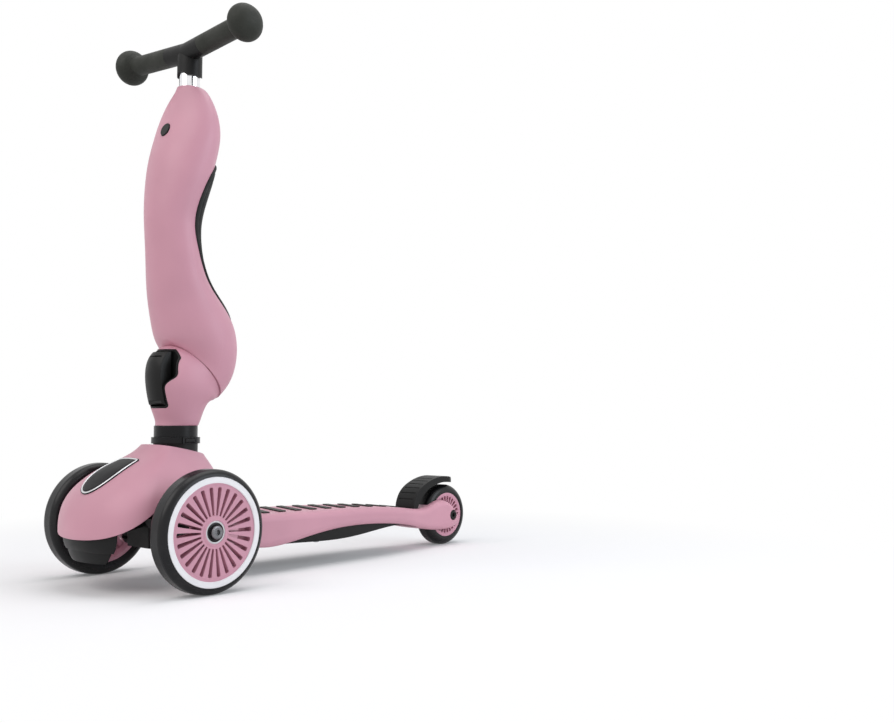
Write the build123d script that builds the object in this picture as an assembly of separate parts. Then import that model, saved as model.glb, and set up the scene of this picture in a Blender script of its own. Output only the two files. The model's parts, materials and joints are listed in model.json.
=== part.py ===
from build123d import *
import math
import os

# A three-wheeled kick scooter whose column turns over to become a seat.
# Millimetres. X points forward, Y to the left, Z up, and the wheels stand on Z = 0.
# Places are worked out from the front axle (X = 0) and moved to the middle of the footprint on export.

# Overall sizes
WHEELBASE = 450
TRACK = 198
FRONT_RADIUS = 60
REAR_RADIUS = 40
NOSE_REACH = 86
COLUMN_X = -28.5
COLUMN_RADIUS = 22.75
COLLAR_TOP = 161
HANDLE_Z = 563
HANDLE_SPAN = 213

# Clearances
RUNNING = 0.05
SEAT_FIT = 0.02
GAP = 0.4
SIDE_GAP = 1.0

# Wheels
WHEEL_WIDTH = 24
FRONT_CORE = 47.5
FRONT_RING_IN = 46.8
FRONT_RING_OUT = 53
RING_DEPTH = 2
REAR_CORE = 29
CORE_DISH = 1.2
SLOT_COUNT = 26
SLOT_INNER = 16
SLOT_HALF_IN = 1.0
SLOT_HALF_OUT = 2.2
BEARING_OUTER = 11
BEARING_WIDTH = 7
BEARING_INSET = 0.5
AXLE_RADIUS = 4
HEAD_RADIUS = 6.5
HEAD_HEIGHT = 4
HEX_RADIUS = 3
SPACER_RADIUS = 6

# Lean steering
KINGPIN_LEAN = 35
KINGPIN_Y = 46
KINGPIN_RADIUS = 4
KNUCKLE_BOSS = 9
KNUCKLE_HALF = 13
ARM_RADIUS = 12.4
LUG_THICK = 6
LUG_HALF = 12
STEER_ARM = 26
STEER_PIN = 3
TIE_ROD_DEPTH = 6
TIE_ROD_WIDTH = 12

# Front frame and nose
BLOCK_FRONT = 14
BLOCK_REAR = -52
BLOCK_HALF = 24
BLOCK_LOW = 38
BLOCK_HIGH = 104
CHIN_LOW = 29
CHIN_INSET = 5
CHIN_REAR = 68
CHIN_ARM = 10
NOSE_WALL = 3
RIM_LOW = 123
BAND_LOW = 142.5
BAND_HIGH = 149
BAND_THICK = 2.25
SNAP_HALF = 6
SNAP_HEIGHT = 4
SNAP_TRAVEL = 2
TUBE_RADIUS = 17
TUBE_WALL = 2.5
TUBE_LOW = 108
TUBE_HIGH = 176

# Deck and rear fork
DECK_WALL = 3.5
FORK_CLEAR = 1.8
FORK_WALL = 6.2
GRIP_HEIGHT = 1.2
GRIP_COUNT = 11
GRIP_WIDTH = 9
FENDER_OVER = 4.5
FENDER_TAIL = 11
FENDER_RIBS = 6
FENDER_PIN = 2.5
FENDER_PIN_Z = 44

# Column joint, neck and seat
PIVOT_X = -49.2
PIVOT_Z = 214.8
SEAM_RADIUS = 35
SEAM_HALF = 34
SEAM_PAST = 6
END_WALL = 4
HUB_RADIUS = 17
HUB_DEPTH = 10
WASHER_RADIUS = 21
WASHER_THICK = 2
POST_RADIUS = 11
POST_X = -38
POST_LOW = 432.1
SOCKET_WALL = 2
TAIL_SOCKET_LOW = 430
TAIL_SOCKET_HIGH = 508
HUMP_DEPTH = 50
HUMP_BOSS = 15
HUMP_RISE = 0.6
HUMP_TILT = 13
PAD_THICK = 3.2
BUTTON_RADIUS = 7.2
BUTTON_Z = 473
BUTTON_LENGTH = 11
BUTTON_PROUD = 1.2
BUTTON_TRAVEL = 2.5

# Ovals of the seat from the joint to the tail: rear X and Z, front X and Z, half width, all from the pivot
SEAT_ROWS = (
    (-37, -10, 31.5, 30.5, 40), (-43.8, 17, 38.5, 40, 46), (-40.8, 49.2, 44, 54, 45.5),
    (-30.8, 69.2, 48.4, 70, 41.5), (-10.5, 93, 51.2, 93, 38), (4.6, 131.2, 53.4, 131.2, 34.5),
    (4.1, 163.2, 56.7, 163.2, 33), (-3.2, 196.2, 54.2, 196.2, 40), (-11.6, 230.2, 48.4, 230.2, 45),
    (-14.4, 252.2, 42, 252.2, 46), (-12.4, 275.2, 35.2, 275.2, 41), (-6.1, 297.2, 26.9, 297.2, 29),
    (-1.8, 309.2, 24.2, 309.2, 13.5),
)
PAD_LAST = 11

# Lock lever in the front of the neck
LEVER_LOW = 179
LEVER_HIGH = 240.5
LEVER_HALF = 14
LEVER_PIN = 1.6
LEVER_PIN_X = -6.8
LEVER_PIN_Z = 187
LEVER_GROOVE = 232
RECESS_BACK = -15
RECESS_WALL = 1.8
RECESS_HALF = 27

# Handlebar
BAR_RADIUS = 9
GRIP_RADIUS = 10.6
GRIP_START = 30
BALL_RADIUS = 19.5
BALL_HALF = 12
BAR_RISE = 6
BAR_FORWARD = 3.4
BOSS_RADIUS = 13.2
BOSS_LOW = 536
BOSS_ARCH = 3.5

BAND_RADIUS = COLUMN_RADIUS + BAND_THICK
FORK_GAP = WHEEL_WIDTH / 2 + FORK_CLEAR
FORK_SEAT = FORK_GAP + FORK_WALL
FORK_HALF = FORK_SEAT + HEAD_HEIGHT + 0.3
FENDER_HALF = WHEEL_WIDTH / 2 + FENDER_OVER
ORIGIN_SHIFT = (WHEELBASE + REAR_RADIUS - NOSE_REACH) / 2
REAR_X = -WHEELBASE
WHEEL_Y = TRACK / 2
PIVOT = Vector(PIVOT_X, 0, PIVOT_Z)
TURN_AXIS = Vector(-math.sqrt(0.5), 0, math.sqrt(0.5))
BUTTON_AXIS = Vector(0.958, 0, 0.287)
KINGPIN_AXIS = Vector(math.sin(math.radians(KINGPIN_LEAN)), 0, math.cos(math.radians(KINGPIN_LEAN)))
HUMP_AXIS = Vector(-math.cos(math.radians(HUMP_TILT)), 0, -math.sin(math.radians(HUMP_TILT)))
HUMP_MOUTH = Vector(PIVOT_X + SEAT_ROWS[1][0] - HUMP_RISE, 0, PIVOT_Z + 22)
BIG = 600


def egg(front, rear, half):
    """A closed oval in the local XY plane, with its own depth in front of and behind the widest line."""
    ahead = scale(ThreePointArc((0, -1), (1, 0), (0, 1)), by=(front, half, 1))
    behind = scale(ThreePointArc((0, 1), (-1, 0), (0, -1)), by=(rear, half, 1))
    return make_face([ahead, behind])


def oval_between(rear, front, half):
    """An oval across the middle plane, from a rear point to a front point, both given as X and Z."""
    run = front[0] - rear[0]
    rise = front[1] - rear[1]
    length = math.hypot(run, rise)
    middle = ((rear[0] + front[0]) / 2, 0, (rear[1] + front[1]) / 2)
    plane = Plane(middle, x_dir=(run, 0, rise), z_dir=(-rise, 0, run))
    return plane * egg(length / 2, length / 2, half)


def tube(axis_start, direction, outer, inner, length):
    plane = Plane(axis_start, z_dir=direction)
    bottom = (Align.CENTER, Align.CENTER, Align.MIN)
    body = plane * Cylinder(outer, length, align=bottom)
    if inner:
        body -= plane * Cylinder(inner, length, align=bottom)
    return body


def rod(axis_start, direction, radius, length):
    return tube(axis_start, direction, radius, 0, length)


def slab(x_low, x_high, half, z_low, z_high):
    middle = ((x_low + x_high) / 2, 0, (z_low + z_high) / 2)
    return Pos(*middle) * Box(x_high - x_low, 2 * half, z_high - z_low)


def turned(outline):
    """A profile of axial and radial points, turned about the Y axis."""
    return revolve(Plane.YZ * make_face(outline), Axis.Y)


def right_of(shape):
    return mirror(shape, about=Plane.XZ)


# Wheels

def wheel_core(rim, slot_outer, recess):
    """Hub with two bearing seats, dished web cut by tapered slots, and the rim that carries the tyre."""
    half = WHEEL_WIDTH / 2
    seat = half - BEARING_INSET - BEARING_WIDTH
    bore = BEARING_OUTER - 3
    face = half - CORE_DISH
    outline = Polyline(
        (seat, bore), (seat, BEARING_OUTER), (half - 0.2, BEARING_OUTER), (half - 0.2, BEARING_OUTER + 1.5),
        (face, BEARING_OUTER + 3), (face, rim - 3.5), (half - recess, rim - 3), (half - recess, rim),
        (1.5 - half, rim), (1.5 - half, rim - 3.5), (1, rim - 5), (4 - half, BEARING_OUTER + 5),
        (0.2 - half, BEARING_OUTER + 3), (0.2 - half, BEARING_OUTER), (-seat, BEARING_OUTER), (-seat, bore),
        close=True,
    )
    core = turned(outline)
    slot_face = make_face(
        Polyline(
            (SLOT_INNER, -SLOT_HALF_IN), (slot_outer, -SLOT_HALF_OUT), (slot_outer, SLOT_HALF_OUT),
            (SLOT_INNER, SLOT_HALF_IN), close=True,
        )
    )
    slot_face = fillet(slot_face.vertices().group_by(Axis.X)[-1], SLOT_HALF_OUT * 0.6)
    slot = extrude(Plane.XZ * slot_face, WHEEL_WIDTH, both=True)
    return core - [Rot(0, 360 / SLOT_COUNT * turn, 0) * slot for turn in range(SLOT_COUNT)]


def tyre(radius, rim, side_radius, recess):
    """Solid tread with full shoulders, and a step for the rim ring on the outer side."""
    half = WHEEL_WIDTH / 2
    crown = 5
    edge = half - 0.2
    knee = half - 2.2
    outline = [
        Polyline((half - recess, rim), (half - recess, side_radius), (edge, side_radius)),
        ThreePointArc((edge, side_radius), (knee, (side_radius + 2 * radius) / 3), (crown, radius)),
        Line((crown, radius), (-crown, radius)),
        ThreePointArc((-crown, radius), (-knee, (side_radius + 2 * radius) / 3), (-edge, side_radius)),
        Polyline((-edge, side_radius), (1.5 - half, rim), (half - recess, rim)),
    ]
    return turned(outline)


def rim_ring():
    half = WHEEL_WIDTH / 2
    floor = half - RING_DEPTH - 0.2
    outline = Polyline(
        (floor, FRONT_CORE), (floor, FRONT_RING_OUT), (half - 0.6, FRONT_RING_OUT),
        (half - 0.2, FRONT_RING_OUT - 0.6), (half - 0.2, FRONT_RING_IN + 0.6), (half - 0.6, FRONT_RING_IN),
        (floor + 0.8, FRONT_RING_IN), (floor + 0.8, FRONT_CORE), close=True,
    )
    return turned(outline)


def bearings():
    """Two shielded bearings, one in each face of the hub."""
    inner = AXLE_RADIUS + RUNNING
    outline = Polyline(
        (0, inner), (0, 6), (0.5, 6.4), (0.5, 9), (0, 9.4), (0, BEARING_OUTER - SEAT_FIT),
        (BEARING_WIDTH, BEARING_OUTER - SEAT_FIT), (BEARING_WIDTH, 9.4), (BEARING_WIDTH - 0.5, 9),
        (BEARING_WIDTH - 0.5, 6.4), (BEARING_WIDTH, 6), (BEARING_WIDTH, inner), close=True,
    )
    bearing = turned(outline)
    seat = WHEEL_WIDTH / 2 - BEARING_INSET - BEARING_WIDTH
    return Compound([Pos(0, seat, 0) * bearing, Pos(0, -seat - BEARING_WIDTH, 0) * bearing])


def bearing_spacer():
    reach = WHEEL_WIDTH / 2 - BEARING_INSET - BEARING_WIDTH - 0.1
    return tube((0, -reach, 0), (0, 1, 0), SPACER_RADIUS, AXLE_RADIUS + SEAT_FIT, 2 * reach)


def rear_washers():
    """A washer on each side of the rear wheel, between its bearing and the fork."""
    start = WHEEL_WIDTH / 2 - BEARING_INSET + 0.1
    washer = tube((0, start, 0), (0, 1, 0), SPACER_RADIUS, AXLE_RADIUS + SEAT_FIT, FORK_GAP - start - 0.02)
    return Compound([washer, right_of(washer)])


def socket_bolt(start, shaft_end):
    """A bolt along +Y with a round head and a hexagon socket, its head seated at shaft_end."""
    bolt = rod((0, start, 0), (0, 1, 0), AXLE_RADIUS, shaft_end - start)
    head = rod((0, shaft_end, 0), (0, 1, 0), HEAD_RADIUS, HEAD_HEIGHT)
    head = fillet(head.edges().group_by(Axis.Y)[-1], HEAD_HEIGHT * 0.4)
    key = extrude(Plane((0, shaft_end + HEAD_HEIGHT, 0), z_dir=(0, -1, 0)) * RegularPolygon(HEX_RADIUS, 6), 2.5)
    return bolt + head - key


def front_wheel(name):
    """Pieces of one front wheel about its own middle, outer face towards +Y."""
    recess = RING_DEPTH + 0.2
    return {
        f"front_tyre_{name}": tyre(FRONT_RADIUS, FRONT_CORE, FRONT_RING_OUT, recess),
        f"front_core_{name}": wheel_core(FRONT_CORE, FRONT_CORE - 4.5, recess - 0.8),
        f"rim_ring_{name}": rim_ring(),
        f"front_bearings_{name}": bearings(),
    }


# Lean steering

def kingpin_frame():
    """Local frame of the left kingpin: X across it in the middle plane, Y to the left, Z along the pin."""
    return Plane((0, KINGPIN_Y, FRONT_RADIUS), x_dir=(KINGPIN_AXIS.Z, 0, -KINGPIN_AXIS.X), z_dir=KINGPIN_AXIS)


def knuckle():
    pin = kingpin_frame()
    wheel_face = WHEEL_Y - WHEEL_WIDTH / 2
    body = pin * Cylinder(KNUCKLE_BOSS, 2 * KNUCKLE_HALF)
    arm = Plane((0, KINGPIN_Y, FRONT_RADIUS), z_dir=(0, 1, 0)) * Cone(
        ARM_RADIUS, ARM_RADIUS - 1.4, wheel_face - 4 - KINGPIN_Y, align=(Align.CENTER, Align.CENTER, Align.MIN)
    )
    body += arm
    body += rod((0, wheel_face - 4, FRONT_RADIUS), (0, 1, 0), ARM_RADIUS + 0.6, 2)
    body += rod((0, wheel_face - 2, FRONT_RADIUS), (0, 1, 0), SPACER_RADIUS, 2 + BEARING_INSET - 0.1)
    lever_low = -KNUCKLE_HALF + 2
    lever_high = -TIE_ROD_DEPTH / 2 - 0.4
    lever = Pos(-STEER_ARM / 2, 0, lever_low) * Box(
        STEER_ARM, TIE_ROD_WIDTH, lever_high - lever_low, align=(Align.CENTER, Align.CENTER, Align.MIN)
    )
    lever += Pos(-STEER_ARM, 0, lever_low) * Cylinder(
        TIE_ROD_WIDTH / 2, lever_high - lever_low, align=(Align.CENTER, Align.CENTER, Align.MIN)
    )
    lever += Pos(-STEER_ARM, 0, lever_high) * Cylinder(
        STEER_PIN, TIE_ROD_DEPTH + 2, align=(Align.CENTER, Align.CENTER, Align.MIN)
    )
    body += pin * lever
    body -= pin * Cylinder(KINGPIN_RADIUS + RUNNING, 4 * KNUCKLE_HALF)
    bolt_start = KINGPIN_Y + KINGPIN_RADIUS + 5
    return body - rod((0, bolt_start, FRONT_RADIUS), (0, 1, 0), AXLE_RADIUS + SEAT_FIT, TRACK)


def kingpin():
    length = KNUCKLE_HALF + GAP + LUG_THICK
    pin = Cylinder(KINGPIN_RADIUS, 2 * length)
    head = Cylinder(KINGPIN_RADIUS + 2.5, 2.5, align=(Align.CENTER, Align.CENTER, Align.MIN))
    return kingpin_frame() * (pin + Pos(0, 0, length) * head)


def tie_rod():
    """A flat bar behind the kingpins, with a slot at each end for the pin of the steering lever."""
    frame = kingpin_frame()
    bar = Box(TIE_ROD_WIDTH, 2 * KINGPIN_Y + TIE_ROD_WIDTH + 4, TIE_ROD_DEPTH)
    hole = extrude(SlotOverall(2 * STEER_PIN + 2.4, 2 * STEER_PIN + 0.6), TIE_ROD_DEPTH, both=True)
    bar -= [Pos(0, side * KINGPIN_Y, 0) * hole for side in (1, -1)]
    middle = Plane(frame.origin - Vector(0, KINGPIN_Y, 0), x_dir=frame.x_dir, z_dir=frame.z_dir)
    return middle * (Pos(-STEER_ARM, 0, 0) * bar)


# Nose, front frame and collar

def nose_form(inset):
    """The blunt nose, as ovals stacked from the floor side up to the collar."""
    levels = (
        (45, NOSE_REACH - 2, -97, 71),
        (66, NOSE_REACH, -96, 73),
        (81, NOSE_REACH - 4, -90, 71),
        (96, NOSE_REACH - 13, -82, 65),
        (109, NOSE_REACH - 26, -74, 55),
        (119, NOSE_REACH - 41, -68, 44.5),
        (128, NOSE_REACH - 61, -61.5, 35),
        (136, 11, -57, 28.5),
        (146, -2, -54.5, 26),
    )
    sections = []
    for z, front, rear, half in levels:
        widest = min(45, (front + 2 * rear) / 3 + half * 1.05)
        oval = egg(front - widest - inset, widest - rear - inset, half - inset)
        sections.append(Pos(widest, 0, z - inset) * oval)
    return loft(sections)


def below_nose_edge(offset):
    """Everything under the lower edge of the nose: over the deck, over the steering arms and along the chin."""
    deck_line = 66.4 + offset
    arch = 86 + offset
    edge = Spline((28, arch), (46, 76 + offset), (64, 63 + offset), (90, 51.5 + offset))
    outline = [
        Polyline((90, 51.5 + offset), (150, 51.5 + offset), (150, -50), (-150, -50), (-150, deck_line),
                 (-62, deck_line), (-42, arch), (28, arch)),
        edge,
    ]
    return extrude(Plane.XZ * make_face(outline), BIG / 2, both=True)


def above_collar_line():
    """Everything over the slanted rim where the nose meets the column tube."""
    plane = Plane((COLUMN_X, 0, 136), x_dir=(54, 0, 10), z_dir=(-10, 0, 54))
    return plane * Box(BIG, BIG, BIG, align=(Align.CENTER, Align.CENTER, Align.MIN))


def nose_shell():
    shell = nose_form(0) - below_nose_edge(0) - above_collar_line()
    shell -= nose_form(NOSE_WALL) - slab(-BIG, BIG, BIG, RIM_LOW, BIG)
    return shell - rod((COLUMN_X, 0, 0), (0, 0, 1), COLUMN_RADIUS + SEAT_FIT, BIG)


def snap_window(clearance):
    half = SNAP_HALF + clearance
    height = SNAP_HEIGHT / 2 + clearance
    middle = (BAND_LOW + BAND_HIGH) / 2
    return Pos(COLUMN_X, 0, middle) * Box(2 * half, BIG, 2 * height)


def front_frame():
    """Chin under the nose on its arm, centre block with the kingpin lugs, and the tube for the column."""
    chin = nose_form(CHIN_INSET) & below_nose_edge(-GAP)
    low = Plane.XY.offset(CHIN_LOW) * Box(BIG, BIG, BIG, align=(Align.CENTER, Align.CENTER, Align.MIN))
    chin_foot = loft([
        Pos(30, 0, 48) * egg(NOSE_REACH - 30 - CHIN_INSET - 1, 80, 64),
        Pos(30, 0, 37) * egg(NOSE_REACH - 30 - CHIN_INSET - 2.5, 80, 63),
        Pos(30, 0, CHIN_LOW) * egg(NOSE_REACH - 30 - CHIN_INSET - 6, 78, 58),
    ])
    chin = (chin & low) + chin_foot
    chin -= slab(-BIG, CHIN_REAR, BIG, 0, BIG)
    arm = Polyline(
        (BLOCK_FRONT - 2, 60), (BLOCK_FRONT - 2, 84), (46, 76), (CHIN_REAR + 5, 56), (CHIN_REAR + 5, 42),
        (56, 50), close=True,
    )
    chin += extrude(Plane.XZ * make_face(arm), CHIN_ARM, both=True)
    block = slab(BLOCK_REAR, BLOCK_FRONT, BLOCK_HALF, BLOCK_LOW, BLOCK_HIGH)
    block = fillet(block.edges().filter_by(Axis.Z), 6)
    body = block + chin
    body += rod((COLUMN_X, 0, BLOCK_HIGH - 2), (0, 0, 1), COLUMN_RADIUS, BAND_HIGH - BLOCK_HIGH + 2)
    for side in (1, -1):
        body += kingpin_lugs() if side == 1 else right_of(kingpin_lugs())
    tunnel = TIE_ROD_WIDTH / 2 + 4
    rod_frame = kingpin_frame()
    middle = Plane(rod_frame.origin - Vector(0, KINGPIN_Y, 0), x_dir=rod_frame.x_dir, z_dir=rod_frame.z_dir)
    body -= middle * (Pos(-STEER_ARM, 0, 0) * Box(2 * tunnel, BIG, TIE_ROD_DEPTH + 8))
    body -= rod((COLUMN_X, 0, TUBE_LOW), (0, 0, 1), TUBE_RADIUS + SEAT_FIT, BIG)
    return body - snap_window(0.3)


def kingpin_lugs():
    """Two lugs and their web on the left side of the block, bored for the kingpin."""
    inner = KNUCKLE_HALF + GAP
    web_in = KINGPIN_Y - BLOCK_HALF + 6
    web_out = KNUCKLE_BOSS + 5
    lugs = Pos(0, -(web_in + web_out) / 2, 0) * Box(2 * LUG_HALF, web_in - web_out, 2 * (inner + LUG_THICK))
    for side in (1, -1):
        plate = Pos(0, -web_in / 2, side * (inner + LUG_THICK / 2)) * Box(2 * LUG_HALF, web_in, LUG_THICK)
        lugs += plate + Pos(0, 0, side * (inner + LUG_THICK / 2)) * Cylinder(LUG_HALF, LUG_THICK)
    lugs -= Cylinder(KINGPIN_RADIUS + SEAT_FIT, BIG)
    return kingpin_frame() * lugs


def collar_band():
    """Sprung band round the tube, with a raised frame on each side for the snap buttons."""
    height = BAND_HIGH - BAND_LOW
    band = tube((COLUMN_X, 0, BAND_LOW), (0, 0, 1), BAND_RADIUS, COLUMN_RADIUS + SEAT_FIT, height)
    frame = Pos(COLUMN_X, 0, BAND_LOW + height / 2) * Box(2 * SNAP_HALF + 5, 2 * BAND_RADIUS + 1.6, height)
    frame -= rod((COLUMN_X, 0, 0), (0, 0, 1), COLUMN_RADIUS + SEAT_FIT, BIG)
    return band + frame - snap_window(0.3)


def snap_button():
    inner = TUBE_RADIUS + SNAP_TRAVEL + 0.5
    outer = BAND_RADIUS + 1.4
    middle = (BAND_LOW + BAND_HIGH) / 2
    button = Pos(COLUMN_X, (inner + outer) / 2, middle) * Box(2 * SNAP_HALF, outer - inner, SNAP_HEIGHT)
    return fillet(button.edges().group_by(Axis.Y)[-1], 0.8)


def column_ferrule():
    ring = tube((COLUMN_X, 0, BAND_HIGH), (0, 0, 1), COLUMN_RADIUS - 0.3, TUBE_RADIUS + SEAT_FIT,
                COLLAR_TOP - BAND_HIGH)
    return fillet(ring.edges().group_by(Axis.Z)[-1].sort_by(SortBy.LENGTH)[-1], 0.8)


def column_tube():
    return tube((COLUMN_X, 0, TUBE_LOW), (0, 0, 1), TUBE_RADIUS, TUBE_RADIUS - TUBE_WALL, TUBE_HIGH - TUBE_LOW)


# Deck, underframe and brake

def deck_stations():
    """Places along the deck: X, lower edge, upper edge and half width, on the fork over its own half."""
    front_part = (
        (0, 32, 66, 46), (0.12, 29.5, 65.2, 46.5), (0.21, 28.6, 64.7, 47), (0.31, 34.5, 64.2, 46.5),
        (0.42, 40, 63.3, 45.5), (0.535, 41.2, 62, 43.5), (0.66, 38.2, 59.3, 39), (0.76, 33, 55.4, 33),
    )
    rear_part = (
        (62, 26.8, 52, 3.7), (42, 23.4, 55, 0.9), (24, 21.8, 60.7, 0.1), (7, 22, 57.6, 0),
        (-6, 24, 48.5, -0.5), (-12, 29.5, 38.5, -1.8),
    )
    deck_front = BLOCK_REAR - 0.2
    stations = []
    for share, low, high, half in front_part:
        stations.append((deck_front + share * (REAR_X - deck_front), low, high, half))
    for ahead, low, high, wider in rear_part:
        stations.append((REAR_X + ahead, low, high, FORK_HALF + wider))
    return stations


def deck_section(x, low, high, half, corner):
    plane = Plane((x, 0, (low + high) / 2), x_dir=(0, 1, 0), z_dir=(1, 0, 0))
    return plane * RectangleRounded(2 * half, high - low, corner)


def deck_form():
    """The deck and its rear fork as rounded sections from the front block back to the fork tips."""
    sections = []
    for x, low, high, half in deck_stations():
        sections.append(deck_section(x, low, high, half, min(8, 0.42 * (high - low))))
    return loft(sections)


def deck_hollow():
    """The room under the deck's top, open to the floor."""
    sections = []
    for x, low, high, half in deck_stations()[:9]:
        sections.append(deck_section(x, low - 20, high - DECK_WALL, half - DECK_WALL, 4))
    room = loft(sections)
    return room & slab(REAR_X + 76, BLOCK_REAR - 4, BIG, -BIG, BIG)


def deck_shell():
    """Moulded deck, open underneath, with the fork round the rear wheel."""
    deck = deck_form() - deck_hollow()
    wheel_room = Plane((REAR_X, 0, REAR_RADIUS), z_dir=(0, 1, 0)) * Cylinder(REAR_RADIUS + 4, 2 * FORK_GAP)
    deck -= wheel_room
    deck -= slab(REAR_X - 60, REAR_X, FORK_GAP, -BIG, BIG)
    deck -= slab(REAR_X + 57.5, REAR_X + 73, FENDER_HALF + SIDE_GAP, FENDER_PIN_Z - 8, BIG)
    deck -= rod((REAR_X + 64, -26, FENDER_PIN_Z), (0, 1, 0), FENDER_PIN + SEAT_FIT, 52)
    deck -= rod((REAR_X, -BIG / 2, REAR_RADIUS), (0, 1, 0), AXLE_RADIUS + SEAT_FIT, BIG)
    for side in (1, -1):
        deck -= rod((REAR_X, side * FORK_SEAT, REAR_RADIUS), (0, side, 0), HEAD_RADIUS + 0.5, 20)
    return deck


def underframe():
    """Keel under the deck that closes its hollow."""
    stations = (
        (0.02, 33, 6), (0.21, 30, 6), (0.31, 29, 11), (0.44, 28.3, 18), (0.57, 31.5, 15), (0.70, 35.5, 7),
        (0.78, 36, 4),
    )
    deck_front = BLOCK_REAR - 4.4
    sections = []
    for share, low, height in stations:
        half = 40 - 13 * max(0, share - 0.42) ** 1.2 / 0.36 ** 1.2
        x = deck_front + share * (REAR_X - deck_front)
        plane = Plane((x, 0, low + height / 2), x_dir=(0, 1, 0), z_dir=(1, 0, 0))
        sections.append(plane * RectangleRounded(2 * half, height, 1.8))
    return loft(sections)


def deck_grip():
    """Slanted grip bars on the deck's top."""
    sections = []
    for x, low, high, half in deck_stations()[:9]:
        plane = Plane((x, 0, high + 0.25 + GRIP_HEIGHT / 2), x_dir=(0, 1, 0), z_dir=(1, 0, 0))
        sections.append(plane * Rectangle(2 * half, GRIP_HEIGHT))
    layer = loft(sections)
    first = BLOCK_REAR - 60
    last = REAR_X + 100
    bars = []
    for index in range(GRIP_COUNT):
        x = first + (last - first) * index / (GRIP_COUNT - 1)
        half = 34 - 14 * index / (GRIP_COUNT - 1)
        bar = extrude(Pos(x, 0, 0) * slanted_bar(half), 100)
        bars.append(layer & bar)
    return Compound([solid for bar in bars for solid in bar.solids()])


def slanted_bar(half):
    slant = half * 0.35
    wide = GRIP_WIDTH / 2
    return make_face(
        Polyline(
            (-wide - slant, -half), (wide - slant, -half), (wide + slant, half), (slant - wide, half), close=True,
        )
    )


def fender():
    """Sprung mudguard that is pressed on the rear tyre as a brake, with a turned-up tail."""
    top = Spline((70, 47), (68.5, 62), (61, 74), (48, 83), (30, 89.5), (13, 92), (-2, 90.8), (-13, 87.5))
    under = Spline((-13.5, 82.6), (-2, 83.4), (12, 84), (27, 81.5), (42, 75.5), (54, 66), (60.5, 57), (62, 47))
    tip = ThreePointArc(top @ 1, Vector(-16.3, 85), under @ 0)
    foot = Line(under @ 1, top @ 0)
    band = extrude(Plane.XZ * make_face([top, tip, under, foot]), FENDER_HALF, both=True)
    for index in range(FENDER_RIBS):
        share = 0.16 + 0.085 * index
        groove = Plane(top @ share, x_dir=top % share, z_dir=(0, 0, 1)) * Box(1.4, 1.6, 2 * FENDER_HALF - 7)
        band -= Plane.XZ * groove
    band = Pos(REAR_X, 0, 0) * (band & fender_plan())
    band += rod((REAR_X + 64, -FENDER_HALF, FENDER_PIN_Z), (0, 1, 0), FENDER_PIN + 3, 2 * FENDER_HALF)
    return band - rod((REAR_X + 64, -BIG / 2, FENDER_PIN_Z), (0, 1, 0), FENDER_PIN + RUNNING, BIG)


def fender_plan():
    """The mudguard seen from above: full width over the tyre, drawn in to a round tail."""
    left = Spline((10, FENDER_HALF), (-4, FENDER_HALF - 1.6), (-13, FENDER_TAIL - 3), (-17.5, 0),
                  tangents=((-1, 0), (0, -1)))
    right = mirror(left, about=Plane.XZ)
    sides = Polyline((10, FENDER_HALF), (90, FENDER_HALF), (90, -FENDER_HALF), (10, -FENDER_HALF))
    return extrude(make_face([left, right, sides]), BIG / 4)


def fender_pin():
    return rod((REAR_X + 64, -26, FENDER_PIN_Z), (0, 1, 0), FENDER_PIN, 52)


# Column: neck, lever, turning joint and seat

def seam(offset):
    """The round joint between neck and seat, moved along the turning axis."""
    reach = SEAM_RADIUS * math.sqrt(0.5)
    shift = offset * math.sqrt(0.5)
    rear = (PIVOT_X - reach - shift, PIVOT_Z - reach + shift)
    front = (PIVOT_X + reach - shift, PIVOT_Z + reach + shift)
    return rear + front + (SEAM_HALF,)


def column_loft(rows, inset):
    """A body through ovals given by rear X and Z, front X and Z and half width, drawn in by the inset."""
    sections = []
    for rear_x, rear_z, front_x, front_z, half in rows:
        run = front_x - rear_x
        rise = front_z - rear_z
        share = inset / math.hypot(run, rise)
        near = (rear_x + run * share, rear_z + rise * share)
        far = (front_x - run * share, front_z - rise * share)
        sections.append(oval_between(near, far, half - inset))
    return loft(sections)


def neck_form(inset):
    """The elbow from the collar to the slanted joint."""
    low = COLLAR_TOP
    base = COLUMN_RADIUS - 1.4
    rows = [
        (COLUMN_X - base, low, COLUMN_X + base, low, base),
        (-57.3, low + 16, -3.7, low + 16, 26.5),
        (-63.5, low + 25, 0.5, low + 30, 30),
        (-68.3, low + 26.7, 3.2, low + 49, 33),
        (-71.3, low + 28, -2, low + 74, 34),
        (-73, low + 28.9, -16, low + 83.5, 34),
        seam(SEAM_PAST),
    ]
    return column_loft(rows, inset)


def seat_rows():
    """All ovals of the column that becomes the seat: belly over the joint, waist, and broad tail at the top."""
    rows = [seam(-SEAM_PAST)]
    for rear_x, rear_z, front_x, front_z, half in SEAT_ROWS:
        rows.append((PIVOT_X + rear_x, PIVOT_Z + rear_z, PIVOT_X + front_x, PIVOT_Z + front_z, half))
    return rows


def past_seam(distance):
    """The seat's side of the slanted joint, beyond a plane this far from the seam."""
    plane = Plane(PIVOT + TURN_AXIS * distance, x_dir=(1, 0, 1), z_dir=TURN_AXIS)
    return plane * Box(BIG, BIG, BIG, align=(Align.CENTER, Align.CENTER, Align.MIN))


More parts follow.
